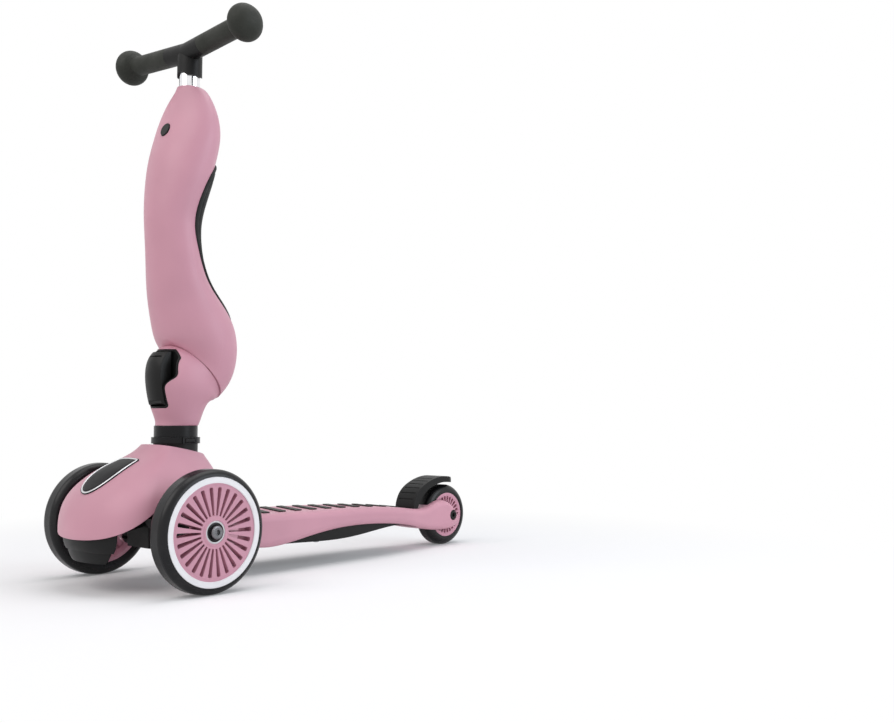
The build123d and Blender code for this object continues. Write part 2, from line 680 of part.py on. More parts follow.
def recess_prism(shrink, back):
    """Outline of the lever recess seen from the front: narrow foot, wide finger scoops above."""
    foot = LEVER_HALF + 2.8 - shrink
    wide = RECESS_HALF - shrink
    upper = wide - 2.4
    low = LEVER_LOW + shrink
    high = LEVER_HIGH - shrink
    scoop = LEVER_LOW + 19
    round_low = 4 - shrink / 2
    round_high = 5 - shrink / 2
    side = Spline((foot, scoop), (foot + 1.4, scoop + 5), (wide - 1.6, scoop + 12), (wide, scoop + 18),
                  tangents=((0, 1), (0, 1)))
    outline = [
        Line((foot, low + round_low), (foot, scoop)),
        side,
        Line((wide, scoop + 18), (upper, high - round_high)),
        ThreePointArc((upper, high - round_high), (upper - 0.293 * round_high, high - 0.293 * round_high),
                      (upper - round_high, high)),
        Line((upper - round_high, high), (0, high)),
        Line((0, low), (foot - round_low, low)),
        ThreePointArc((foot - round_low, low), (foot - 0.293 * round_low, low + 0.293 * round_low),
                      (foot, low + round_low)),
    ]
    face = make_face(outline + [mirror(edge, about=Plane.YZ) for edge in outline])
    return extrude(Plane((back, 0, 0), x_dir=(0, 1, 0), z_dir=(1, 0, 0)) * face, 80)


def neck_shell():
    """Elbow from the collar to the slanted joint, with a pocket in front for the lever."""
    neck = neck_form(0) - past_seam(-GAP / 2)
    neck -= recess_prism(0, RECESS_BACK - RECESS_WALL)
    neck -= rod((COLUMN_X, 0, COLLAR_TOP - 10), (0, 0, 1), TUBE_RADIUS + SEAT_FIT, TUBE_HIGH - COLLAR_TOP + 10)
    return neck - rod(PIVOT - TURN_AXIS * HUB_DEPTH, TURN_AXIS, HUB_RADIUS - 5 + SEAT_FIT, 2 * HUB_DEPTH)


def lever_recess():
    """Black cup behind the lever."""
    cup = neck_form(0.6) & recess_prism(0.15, RECESS_BACK - RECESS_WALL + 0.1)
    cup -= recess_prism(RECESS_WALL, RECESS_BACK)
    return cup - lever_pin_hole(SEAT_FIT)


def lever_pin_place():
    return Vector(LEVER_PIN_X, 0, LEVER_PIN_Z)


def lever_pin_hole(clearance):
    place = lever_pin_place()
    return rod(place - Vector(0, BIG / 2, 0), (0, 1, 0), LEVER_PIN + clearance, BIG)


def lever_pin():
    reach = LEVER_HALF + 2.4
    return rod(lever_pin_place() - Vector(0, reach, 0), (0, 1, 0), LEVER_PIN, 2 * reach)


def lock_lever():
    """Curved lever that follows the neck and is pulled out at the top."""
    top = LEVER_HIGH - RECESS_WALL - SIDE_GAP
    body = slab(RECESS_BACK + 3, 40, LEVER_HALF, LEVER_PIN_Z, top)
    body += rod(lever_pin_place() - Vector(0, LEVER_HALF, 0), (0, 1, 0), LEVER_PIN + 3, 2 * LEVER_HALF)
    body = neck_form(-0.8) & body
    body -= slab(-BIG, BIG, LEVER_HALF - 2.5, LEVER_GROOVE, LEVER_GROOVE + 1.2) - neck_form(0.3)
    return body - lever_pin_hole(RUNNING)


def turn_hub():
    """Spigot pressed into the neck, with the wide collar that the seat turns on."""
    foot = rod(PIVOT - TURN_AXIS * HUB_DEPTH, TURN_AXIS, HUB_RADIUS - 5, HUB_DEPTH)
    return foot + rod(PIVOT - TURN_AXIS * (GAP / 2), TURN_AXIS, HUB_RADIUS, GAP + END_WALL + 0.2)


def turn_washer():
    start = PIVOT + TURN_AXIS * (GAP / 2 + END_WALL + 0.2)
    return rod(start, TURN_AXIS, WASHER_RADIUS, WASHER_THICK)


def seat_shell():
    """The seat with its bearing wall at the joint, and bores for both sockets, the post and the button."""
    shell = column_loft(seat_rows(), 0) & past_seam(GAP / 2)
    shell += Plane(HUMP_MOUTH, z_dir=-HUMP_AXIS) * Cone(
        HUMP_BOSS, HUMP_BOSS + 6, 8, align=(Align.CENTER, Align.CENTER, Align.MIN)
    )
    wall_end = PIVOT + TURN_AXIS * (GAP / 2 + END_WALL)
    shell -= rod(PIVOT - TURN_AXIS * END_WALL, TURN_AXIS, HUB_RADIUS + RUNNING, 2 * END_WALL + GAP / 2 + 0.1)
    shell -= rod(wall_end, TURN_AXIS, WASHER_RADIUS + GAP, WASHER_THICK + 1)
    shell -= rod((POST_X, 0, POST_LOW), (0, 0, 1), POST_RADIUS + RUNNING, 200)
    shell -= rod((POST_X, 0, TAIL_SOCKET_LOW), (0, 0, 1), socket_radius() + SEAT_FIT,
                 TAIL_SOCKET_HIGH - TAIL_SOCKET_LOW)
    shell -= rod(HUMP_MOUTH - HUMP_AXIS * HUMP_DEPTH, HUMP_AXIS, socket_radius() + SEAT_FIT, HUMP_DEPTH + 10)
    return shell - button_bore()


def socket_radius():
    return POST_RADIUS + SOCKET_WALL


def socket(start, direction, length):
    """Closed sleeve for the handlebar post."""
    sleeve = rod(start, direction, socket_radius(), length)
    return sleeve - rod(Vector(*start) + Vector(*direction) * 2, direction, POST_RADIUS + RUNNING, length)


def tail_socket():
    return socket((POST_X, 0, TAIL_SOCKET_LOW), (0, 0, 1), TAIL_SOCKET_HIGH - TAIL_SOCKET_LOW)


def hump_socket():
    return socket(HUMP_MOUTH - HUMP_AXIS * HUMP_DEPTH, HUMP_AXIS, HUMP_DEPTH)


def button_place():
    return Vector(PIVOT_X + 40.2, 0, BUTTON_Z)


def button_bore():
    depth = BUTTON_LENGTH - BUTTON_PROUD + BUTTON_TRAVEL + 1
    return rod(button_place() - BUTTON_AXIS * depth, BUTTON_AXIS, BUTTON_RADIUS + 0.3, depth + 20)


def release_button():
    start = button_place() + BUTTON_AXIS * (BUTTON_PROUD - BUTTON_LENGTH)
    button = rod(start, BUTTON_AXIS, BUTTON_RADIUS, BUTTON_LENGTH)
    return fillet(button.edges().sort_by(Axis(button_place(), BUTTON_AXIS))[-1], 0.9)


def seat_pad():
    """Crowned pad on the rear of the column, the seat of the ride-on."""
    half_outline = (
        (20, 227.5), (33, 221), (38, 212), (38.5, 201), (36.5, 188), (33.5, 170), (32, 152), (31, 131),
        (28.5, 115), (27, 100), (25, 85), (22.5, 70), (17.5, 57.5), (9.5, 49.8),
    )
    left = [(y, PIVOT_Z + z) for y, z in half_outline]
    right = [(-y, z) for y, z in reversed(left)]
    face = make_face(Spline((0, PIVOT_Z + 229.5), *left, (0, PIVOT_Z + 47), *right, periodic=True))
    prism = extrude(Plane((PIVOT_X + 20, 0, 0), x_dir=(0, 1, 0), z_dir=(1, 0, 0)) * face, -BIG / 4)
    rows = seat_rows()
    crown = []
    for rear_x, rear_z, front_x, front_z, half in rows[:PAD_LAST]:
        crown.append((rear_x - PAD_THICK, rear_z, front_x, front_z, half + PAD_THICK / 4))
    return (column_loft(crown, 0) & prism) - column_loft(rows, 0)


# Handlebar

def handle_arm():
    """Where the left arm starts and the direction it runs in."""
    start = Vector(POST_X + 3, 0, HANDLE_Z)
    end = Vector(POST_X + 3 + BAR_FORWARD, HANDLE_SPAN / 2, HANDLE_Z + BAR_RISE)
    return start, end, (end - start).normalized()


def handlebar():
    """T-piece over the post, with a core for each grip."""
    start, end, along = handle_arm()
    reach = (end - start).length
    core = rod(start - along * 2, along, BAR_RADIUS, reach - 2)
    shoulder = rod(start - along * 2, along, GRIP_RADIUS, GRIP_START + 2)
    half = core + shoulder
    body = half + right_of(half) + Pos(*start) * Sphere(GRIP_RADIUS)
    boss = rod((POST_X, 0, BOSS_LOW), (0, 0, 1), BOSS_RADIUS, HANDLE_Z - BOSS_LOW)
    arch = rod((POST_X - BIG / 2, 0, BOSS_LOW + BOSS_ARCH - BOSS_RADIUS), (1, 0, 0), BOSS_RADIUS, BIG)
    body += boss - arch
    return body - rod((POST_X, 0, POST_LOW), (0, 0, 1), POST_RADIUS + SEAT_FIT, HANDLE_Z - 4 - POST_LOW)


def handle_post():
    return rod((POST_X, 0, POST_LOW), (0, 0, 1), POST_RADIUS, HANDLE_Z - 4 - POST_LOW)


def grip():
    """Rubber sleeve with a ball end, drawn along local Z and laid on the left arm."""
    start, end, along = handle_arm()
    reach = (end - start).length
    ball_low = reach - BALL_HALF
    ball_high = reach + BALL_HALF
    outline = [
        Polyline((BAR_RADIUS + SEAT_FIT, GRIP_START + 0.2), (GRIP_RADIUS, GRIP_START + 0.2),
                 (GRIP_RADIUS, ball_low - 3), (BALL_RADIUS - 4, ball_low)),
        ThreePointArc((BALL_RADIUS - 4, ball_low), (BALL_RADIUS, reach - 3), (BALL_RADIUS - 3.2, reach + 5)),
        ThreePointArc((BALL_RADIUS - 3.2, reach + 5), (BALL_RADIUS * 0.55, ball_high - 1.8), (4, ball_high)),
        Polyline((4, ball_high), (0, ball_high), (0, reach - 4), (BAR_RADIUS + SEAT_FIT, reach - 4),
                 (BAR_RADIUS + SEAT_FIT, GRIP_START + 0.2)),
    ]
    body = revolve(Plane.XZ * make_face(outline), Axis.Z)
    return Plane(start, z_dir=along) * body


def build():
    """Every piece by name, still placed from the front axle."""
    pieces = {
        "deck_shell": deck_shell(),
        "underframe": underframe(),
        "deck_grip": deck_grip(),
        "nose_shell": nose_shell(),
        "front_frame": front_frame(),
        "collar_band": collar_band(),
        "column_ferrule": column_ferrule(),
        "column_tube": column_tube(),
        "tie_rod": tie_rod(),
        "rear_fender": fender(),
        "fender_pin": fender_pin(),
        "neck_shell": neck_shell(),
        "lever_recess": lever_recess(),
        "lock_lever": lock_lever(),
        "lever_pin": lever_pin(),
        "turn_hub": turn_hub(),
        "turn_washer": turn_washer(),
        "seat_shell": seat_shell(),
        "seat_pad": seat_pad(),
        "tail_socket": tail_socket(),
        "hump_socket": hump_socket(),
        "release_button": release_button(),
        "handlebar": handlebar(),
        "handle_post": handle_post(),
    }
    wheel_place = Pos(0, WHEEL_Y, FRONT_RADIUS)
    left = {name: wheel_place * shape for name, shape in front_wheel("left").items()}
    left["front_spacer_left"] = wheel_place * bearing_spacer()
    left["axle_bolt_left"] = Pos(0, 0, FRONT_RADIUS) * socket_bolt(
        KINGPIN_Y + KINGPIN_RADIUS + 6, WHEEL_Y + WHEEL_WIDTH / 2 - BEARING_INSET + 0.1
    )
    left["knuckle_left"] = knuckle()
    left["kingpin_left"] = kingpin()
    left["snap_button_left"] = snap_button()
    left["grip_left"] = grip()
    for name, shape in left.items():
        pieces[name] = shape
        pieces[name.replace("left", "right")] = right_of(shape)
    rear_place = Pos(REAR_X, 0, REAR_RADIUS)
    pieces["rear_tyre"] = rear_place * tyre(REAR_RADIUS, REAR_CORE, REAR_CORE + 2, 0.8)
    pieces["rear_core"] = rear_place * wheel_core(REAR_CORE, REAR_CORE - 4.5, 0.8)
    pieces["rear_bearings"] = rear_place * bearings()
    pieces["rear_spacer"] = rear_place * bearing_spacer()
    pieces["rear_washers"] = rear_place * rear_washers()
    pieces["rear_axle_bolt"] = rear_place * socket_bolt(1 - FORK_SEAT - HEAD_HEIGHT, FORK_SEAT)
    pieces["rear_axle_nut"] = rear_place * tube(
        (0, -FORK_SEAT, 0), (0, -1, 0), HEAD_RADIUS, AXLE_RADIUS + SEAT_FIT, HEAD_HEIGHT
    )
    return pieces


def main():
    os.makedirs("parts", exist_ok=True)
    for name, shape in build().items():
        export_step(Pos(ORIGIN_SHIFT, 0, 0) * shape, f"parts/{name}.step")


if __name__ == "__main__":
    main()
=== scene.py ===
"""Looks of a convertible kick scooter: materials, seat cushion, nose plate, fasteners, light and camera."""
import json
import math

import bmesh
import bpy
import numpy as np
from mathutils import Matrix, Vector
from mathutils.bvhtree import BVHTree


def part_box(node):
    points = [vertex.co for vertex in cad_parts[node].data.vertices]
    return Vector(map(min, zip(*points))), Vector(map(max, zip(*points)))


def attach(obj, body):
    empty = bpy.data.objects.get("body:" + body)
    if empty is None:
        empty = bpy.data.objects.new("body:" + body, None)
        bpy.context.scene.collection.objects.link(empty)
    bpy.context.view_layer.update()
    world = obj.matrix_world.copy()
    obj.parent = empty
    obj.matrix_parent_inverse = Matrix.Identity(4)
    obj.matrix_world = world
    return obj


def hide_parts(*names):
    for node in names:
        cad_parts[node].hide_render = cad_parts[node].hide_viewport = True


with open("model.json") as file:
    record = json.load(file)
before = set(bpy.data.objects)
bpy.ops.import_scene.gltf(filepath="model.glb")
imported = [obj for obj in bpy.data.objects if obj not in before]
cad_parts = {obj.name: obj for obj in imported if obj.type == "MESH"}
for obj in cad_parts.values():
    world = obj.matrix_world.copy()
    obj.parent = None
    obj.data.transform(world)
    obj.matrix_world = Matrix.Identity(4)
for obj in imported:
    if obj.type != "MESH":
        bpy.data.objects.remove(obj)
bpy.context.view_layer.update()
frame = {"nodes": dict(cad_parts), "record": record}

nodes = frame["nodes"]
scene = bpy.context.scene

# Lengths are in metres, angles in degrees and colours in linear light.
AHEAD = Vector((1.0, 0.0, 0.0))
UP = Vector((0.0, 0.0, 1.0))
DOWN = -UP
QUARTER_TURN = 0.5 * math.pi

# Camera of the main view.
CAMERA_PLACE = Vector((0.79499, 0.91891, 0.16903))
CAMERA_YAW = -138.982
CAMERA_PITCH = 3.228
CAMERA_ROLL = -0.163
CAMERA_LENS = 40.884
SENSOR_WIDTH = 36.0

# Light, floor and surroundings.
KEY_LIGHT = {"place": (1.5, -0.1, 1.5), "aim": (0.0, 0.0, 0.25), "size": 1.6, "watts": 14.0,
             "colour": (1.0, 0.97, 0.95)}
TOP_LIGHT = {"place": (-0.3, 0.3, 2.2), "aim": (0.0, 0.0, 0.2), "size": 2.0, "watts": 20.0,
             "colour": (1.0, 1.0, 1.0)}
FILL_LIGHT = {"place": (-0.7, 1.7, 0.8), "aim": (0.0, 0.0, 0.25), "size": 1.4, "watts": 13.0,
              "colour": (0.84, 0.92, 1.0)}
WHITE = (1.0, 1.0, 1.0, 1.0)
SOFT_SKY = (0.94, 0.95, 1.0, 1.0)
SOFT_SKY_LEVEL = 0.42
FLOOR_HALF = 7.0
FLOOR_PALE = (0.95, 0.95, 0.955, 1.0)
FLOOR_FADE = (0.25, 0.8)
FLOOR_NEAR_WHITE = 0.12

# Colours of the pieces.
PINK = (0.60, 0.30, 0.372)
PINK_PALE = (0.70, 0.40, 0.47)
PINK_CORE = (0.60, 0.30, 0.38)
BLACK = (0.007, 0.007, 0.007)
BLACK_WORN = (0.036, 0.035, 0.034)
GLOSS_BLACK = (0.004, 0.004, 0.005)
TYRE = (0.005, 0.005, 0.006)
TYRE_DUST = (0.026, 0.025, 0.024)
RING_WHITE = (0.84, 0.83, 0.84)
RING_SOIL = (0.60, 0.57, 0.56)
GRIP = (0.024, 0.026, 0.021)
GRIP_WORN = (0.052, 0.053, 0.047)
PAD = (0.014, 0.014, 0.014)
PAD_PALE = (0.034, 0.034, 0.033)
STEEL = (0.56, 0.56, 0.57)
STEEL_DARK = (0.33, 0.33, 0.34)
GREY_STEEL = (0.20, 0.20, 0.21)
GREY_STEEL_DARK = (0.09, 0.09, 0.10)
CHROME = (0.88, 0.88, 0.90)
ALLOY = (0.62, 0.63, 0.65)
PLATE_DARK = (0.014, 0.014, 0.015)
PLATE_RIM = (0.72, 0.72, 0.74)

# Shared by the materials: the middle of a noise, how far a rounded normal leans at a corner, and mix sockets.
MIDDLE = (0.3, 0.7)
CORNER_LEAN = (0.985, 0.86)
MIX_A, MIX_B, MIX_RESULT = 6, 7, 2
GLOSS = "Specular IOR Level"


def shaded(colour, factor):
    return tuple(min(1.0, factor * c) for c in colour)


class Graph:
    """A node material being drawn, with the piece's own coordinates as its place."""

    def __init__(self, name):
        self.material = bpy.data.materials.new(name)
        self.material.use_nodes = True
        self.tree = self.material.node_tree
        self.shader = self.tree.nodes["Principled BSDF"]
        self.place = self.add("ShaderNodeTexCoord").outputs["Object"]

    def add(self, kind, **settings):
        node = self.tree.nodes.new(kind)
        for name, value in settings.items():
            setattr(node, name, value)
        return node

    def put(self, socket, value):
        """Link another socket to this one, or set it to a constant."""
        if isinstance(value, bpy.types.NodeSocket):
            self.tree.links.new(value, socket)
        elif socket.type == "RGBA":
            socket.default_value = (*value, 1.0)
        else:
            socket.default_value = value

    def stretched(self, scale):
        """The place with each axis scaled, for grain that runs one way."""
        node = self.add("ShaderNodeMapping")
        node.inputs["Scale"].default_value = scale
        self.put(node.inputs["Vector"], self.place)
        return node.outputs["Vector"]

    def noise(self, scale, detail, roughness=0.5, place=None):
        node = self.add("ShaderNodeTexNoise")
        node.inputs["Scale"].default_value = scale
        node.inputs["Detail"].default_value = detail
        node.inputs["Roughness"].default_value = roughness
        self.put(node.inputs["Vector"], place or self.place)
        return node.outputs["Fac"]

    def cells(self, scale):
        node = self.add("ShaderNodeTexVoronoi", feature="F1")
        node.inputs["Scale"].default_value = scale
        self.put(node.inputs["Vector"], self.place)
        return node.outputs["Distance"]

    def level(self, value, span, to=(0.0, 1.0)):
        """The value carried from one span to another, and held at its ends."""
        node = self.add("ShaderNodeMapRange")
        self.put(node.inputs["Value"], value)
        for name, number in zip(("From Min", "From Max", "To Min", "To Max"), (*span, *to)):
            node.inputs[name].default_value = number
        return node.outputs["Result"]

    def patches(self, scale, detail, span, most, roughness=0.5):
        """A share that rises in patches from nothing to this much."""
        return self.level(self.noise(scale, detail, roughness), span, (0.0, most))

    def times(self, a, b):
        node = self.add("ShaderNodeMath", operation="MULTIPLY", use_clamp=True)
        self.put(node.inputs[0], a)
        self.put(node.inputs[1], b)
        return node.outputs["Value"]

    def mix(self, share, a, b):
        node = self.add("ShaderNodeMix", data_type="RGBA")
        self.put(node.inputs["Factor"], share)
        self.put(node.inputs[MIX_A], a)
        self.put(node.inputs[MIX_B], b)
        return node.outputs[MIX_RESULT]

    def rounded(self, radius):
        """The normal with edges rounded off, and how much of a corner each point has."""
        bevel = self.add("ShaderNodeBevel", samples=4)
        bevel.inputs["Radius"].default_value = radius
        true = self.add("ShaderNodeNewGeometry").outputs["Normal"]
        dot = self.add("ShaderNodeVectorMath", operation="DOT_PRODUCT")
        self.put(dot.inputs[0], bevel.outputs["Normal"])
        self.put(dot.inputs[1], true)
        return bevel.outputs["Normal"], self.level(dot.outputs["Value"], CORNER_LEAN)

    def bump(self, height, strength, distance, normal):
        node = self.add("ShaderNodeBump")
        node.inputs["Strength"].default_value = strength
        node.inputs["Distance"].default_value = distance
        self.put(node.inputs["Height"], height)
        self.put(node.inputs["Normal"], normal)
        return node.outputs["Normal"]

    def finish(self, colour, roughness, normal, constants):
        self.put(self.shader.inputs["Base Color"], colour)
        self.put(self.shader.inputs["Roughness"], roughness)
        self.put(self.shader.inputs["Normal"], normal)
        for name, value in constants.items():
            self.put(self.shader.inputs[name], value)
        return self.material


def moulded(name, colour, worn, rough, grain, specular, wear=0.7):
    """Injection-moulded plastic: even colour with slow drift, fine grain, and paler rubbed edges."""
    g = Graph(name)
    drift = g.level(g.noise(scale=11.0, detail=2.0), MIDDLE)
    base = g.mix(drift, shaded(colour, 0.92), shaded(colour, 1.05))
    speck = g.patches(scale=1400.0, detail=2.0, span=(0.62, 0.78), most=0.12)
    base = g.mix(speck, base, worn)
    normal, corner = g.rounded(radius=0.0009)
    rubbed = g.times(corner, g.patches(scale=90.0, detail=4.0, span=(0.42, 0.66), most=wear))
    base = g.mix(rubbed, base, worn)
    smear = g.noise(scale=38.0, detail=5.0, roughness=0.62)
    roughness = g.level(smear, MIDDLE, to=(rough - 0.06, rough + 0.08))
    normal = g.bump(g.noise(scale=grain, detail=2.0), strength=0.16, distance=0.00012, normal=normal)
    return g.finish(base, roughness, normal, {GLOSS: specular})


def rubber(name, colour, worn, rough, grain, depth):
    """Soft black rubber: matte, pebbled, with a dusty bloom in places."""
    g = Graph(name)
    bloom = g.patches(scale=26.0, detail=5.0, roughness=0.6, span=(0.45, 0.75), most=0.55)
    base = g.mix(bloom, colour, worn)
    normal, corner = g.rounded(radius=0.0008)
    base = g.mix(g.times(corner, 0.45), base, worn)
    pebble = g.cells(grain)
    base = g.mix(g.level(pebble, (0.0, 0.5), to=(0.10, 0.0)), base, worn)
    roughness = g.level(g.noise(scale=60.0, detail=4.0), MIDDLE, to=(rough - 0.07, rough + 0.08))
    normal = g.bump(pebble, strength=0.35, distance=depth, normal=normal)
    return g.finish(base, roughness, normal, {GLOSS: 0.22})


def tyre_rubber(name):
    """Cast tyre rubber: smooth and slightly shiny, with faint handling marks and dust."""
    g = Graph(name)
    dust = g.patches(scale=34.0, detail=6.0, roughness=0.65, span=(0.50, 0.80), most=0.45)
    base = g.mix(dust, TYRE, TYRE_DUST)
    speck = g.patches(scale=900.0, detail=2.0, span=(0.60, 0.75), most=0.25)
    base = g.mix(speck, base, TYRE_DUST)
    normal, corner = g.rounded(radius=0.0007)
    base = g.mix(g.times(corner, 0.25), base, TYRE_DUST)
    roughness = g.level(g.noise(scale=48.0, detail=5.0), MIDDLE, to=(0.22, 0.38))
    normal = g.bump(g.noise(scale=700.0, detail=3.0), strength=0.12, distance=0.00015, normal=normal)
    return g.finish(base, roughness, normal, {GLOSS: 0.28})


def metal(name, colour, dark, rough, run, stretch):
    """Bright metal with fine marks that run one way and a little tarnish."""
    g = Graph(name)
    lines = g.noise(scale=run, detail=3.0, roughness=0.6, place=g.stretched(stretch))
    stain = g.patches(scale=70.0, detail=4.0, span=(0.45, 0.75), most=0.5)
    base = g.mix(stain, colour, dark)
    base = g.mix(g.level(lines, (0.35, 0.65), to=(0.0, 0.22)), base, dark)
    normal, corner = g.rounded(radius=0.0004)
    base = g.mix(g.times(corner, 0.4), base, shaded(colour, 1.15))
    roughness = g.level(lines, MIDDLE, to=(rough - 0.05, rough + 0.07))
    normal = g.bump(lines, strength=0.08, distance=0.00008, normal=normal)
    return g.finish(base, roughness, normal, {"Metallic": 1.0})


def ring_paint(name):
    """White moulded ring with a trace of road dust."""
    g = Graph(name)
    soil = g.patches(scale=55.0, detail=6.0, roughness=0.65, span=(0.52, 0.80), most=0.45)
    base = g.mix(soil, RING_WHITE, RING_SOIL)
    normal, corner = g.rounded(radius=0.0006)
    base = g.mix(g.times(corner, 0.25), base, RING_SOIL)
    roughness = g.level(g.noise(scale=80.0, detail=4.0), MIDDLE, to=(0.36, 0.50))
    normal = g.bump(g.noise(scale=1100.0, detail=2.0), strength=0.10, distance=0.0001, normal=normal)
    return g.finish(base, roughness, normal, {GLOSS: 0.45})


ALONG_Y = (1.0, 0.15, 1.0)
ALONG_Z = (1.0, 1.0, 0.05)
MATERIALS = {
    "pink": moulded("pink_shell", PINK, PINK_PALE, rough=0.46, grain=1500.0, specular=0.42),
    "core": moulded("pink_wheel", PINK_CORE, PINK_PALE, rough=0.50, grain=1300.0, specular=0.38),
    "black": moulded("black_moulding", BLACK, BLACK_WORN, rough=0.44, grain=1100.0, specular=0.2),
    "gloss": moulded("black_gloss", GLOSS_BLACK, BLACK_WORN, rough=0.28, grain=900.0, specular=0.22,
                     wear=0.4),
    "tyre": tyre_rubber("tyre_rubber"),
    "ring": ring_paint("white_ring"),
    "grip": rubber("grip_rubber", GRIP, GRIP_WORN, rough=0.58, grain=900.0, depth=0.00025),
    "pad": rubber("pad_foam", PAD, PAD_PALE, rough=0.62, grain=1100.0, depth=0.0002),
    "steel": metal("bright_steel", STEEL, STEEL_DARK, rough=0.30, run=500.0, stretch=ALONG_Y),
    "grey_steel": metal("grey_steel", GREY_STEEL, GREY_STEEL_DARK, rough=0.27, run=500.0, stretch=ALONG_Y),
    "chrome": metal("polished_post", CHROME, STEEL, rough=0.13, run=600.0, stretch=(1.0, 1.0, 0.04)),
    "alloy": metal("brushed_alloy", ALLOY, STEEL_DARK, rough=0.34, run=700.0, stretch=ALONG_Z),
    "plate": moulded("plate_face", PLATE_DARK, BLACK_WORN, rough=0.46, grain=800.0, specular=0.12),
    "rim": metal("plate_rim", PLATE_RIM, STEEL, rough=0.28, run=700.0, stretch=(1.0, 0.2, 1.0)),
}

FINISH_OF_SLOT = {
    "pink_plastic": "pink",
    "black_plastic": "black",
    "tyre_black": "tyre",
    "white_ring": "ring",
    "grip_rubber": "grip",
    "pad_rubber": "pad",
    "steel": "steel",
    "polished_post": "chrome",
    "column_alloy": "alloy",
}
FINISH_OF_NODE = {
    "front_core_left": "core",
    "front_core_right": "core",
    "rear_core": "core",
    "collar_band": "gloss",
    "column_ferrule": "gloss",
    "axle_bolt_left": "grey_steel",
    "axle_bolt_right": "grey_steel",
    "rear_axle_bolt": "gloss",
    "rear_axle_nut": "gloss",
    "lever_pin": "gloss",
}


def dress(obj, finish):
    obj.data.materials.clear()
    obj.data.materials.append(MATERIALS[finish])


def dress_frame():
    """Every CAD node gets the finish of its slot, or one of its own."""
    for part in frame["record"]["subparts"]:
        node = part["node"]
        dress(nodes[node], FINISH_OF_NODE.get(node, FINISH_OF_SLOT[part["material_slot"]]))


def new_piece(name, mesh, body, finish):
    obj = bpy.data.objects.new(name, mesh)
    scene.collection.objects.link(obj)
    dress(obj, finish)
    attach(obj, body)
    return obj


# Forms made of rings of points that are laid on a node's own surface.
MERGE_DISTANCE = 2e-6


def world_tree(node):
    """A search tree over a node's surface, in the shared frame."""
    mesh = nodes[node].data
    points = [v.co for v in mesh.vertices]
    faces = [p.vertices for p in mesh.polygons]
    return BVHTree.FromPolygons(points, faces)


def drawn_in(outline, inset):
    """The outline moved towards its inside."""
    ahead = np.roll(outline, -1, axis=0) - np.roll(outline, 1, axis=0)
    ahead /= np.linalg.norm(ahead, axis=1)[:, None]
    inward = np.stack((ahead[:, 1], -ahead[:, 0]), axis=1)
    middle = outline.mean(axis=0)
    if np.sum(inward * (middle - outline)) < 0:
        inward = -inward
    return outline + inset * inward


def ring_mesh(name, rings, hoop):
    """Faces between rings of points that follow one another; in a hoop the last ring joins the first."""
    count = len(rings[0])
    work = bmesh.new()
    loops = [[work.verts.new(point) for point in ring] for ring in rings]
    pairs = list(zip(loops[:-1], loops[1:]))
    if hoop:
        pairs.append((loops[-1], loops[0]))
    for low, high in pairs:
        for k in range(count):
            after = (k + 1) % count
            work.faces.new((low[k], low[after], high[after], high[k]))
    bmesh.ops.remove_doubles(work, verts=work.verts, dist=MERGE_DISTANCE)
    bmesh.ops.dissolve_degenerate(work, edges=work.edges, dist=MERGE_DISTANCE)
    bmesh.ops.recalc_face_normals(work, faces=work.faces)
    for face in work.faces:
        face.smooth = True
    mesh = bpy.data.meshes.new(name)
    work.to_mesh(mesh)
    work.free()
    return mesh


# Seat cushion: rings from the pad's outline to its middle line, with a rolled border, a groove and a crown.
# A border ring has an inset from the outline and a height over the shell; a share of 1 is the middle line.
CUSHION_LEVELS = 96
CUSHION_SIDE = 120
CUSHION_REACH = 0.96
CUSHION_EASING = 40
CUSHION_BED = 0.0
CUSHION_BED_SHARES = (1.0, 0.8, 0.6, 0.4, 0.2)
CUSHION_BORDER = ((0.0, -0.0003), (0.0, 0.0006), (0.0003, 0.0012), (0.0009, 0.0018), (0.0018, 0.0022),
                  (0.0030, 0.0024), (0.0043, 0.0023), (0.0052, 0.0019), (0.0059, 0.0015), (0.0066, 0.0014),
                  (0.0073, 0.0016), (0.0082, 0.0021), (0.0094, 0.0025))
CUSHION_CROWN = 0.0034
CUSHION_SHARES = (0.10, 0.20, 0.32, 0.44, 0.56, 0.68, 0.80, 0.90, 1.0)
SPINE_ENDS = (0.030, 0.036)
RAY_RUN = 0.1
NORMAL_STEPS = (-0.0015, 0.0, 0.0015)
LEVEL_EDGE = 1e-9


def half_widths(node, levels):
    """The node's greatest distance from the middle plane at each height."""
    mesh = nodes[node].data
    points = np.array([v.co for v in mesh.vertices])
    edges = np.array([e.vertices for e in mesh.edges])
    edges = edges[np.abs(np.diff(points[edges, 2], axis=1)[:, 0]) > LEVEL_EDGE]
    a, b = points[edges[:, 0]], points[edges[:, 1]]
    widths = []
    for level in levels:
        share = (level - a[:, 2]) / (b[:, 2] - a[:, 2])
        crossing = (share >= 0) & (share <= 1)
        reach = np.abs(a[:, 1] + share * (b[:, 1] - a[:, 1]))
        widths.append(reach[crossing].max())
    return np.array(widths)


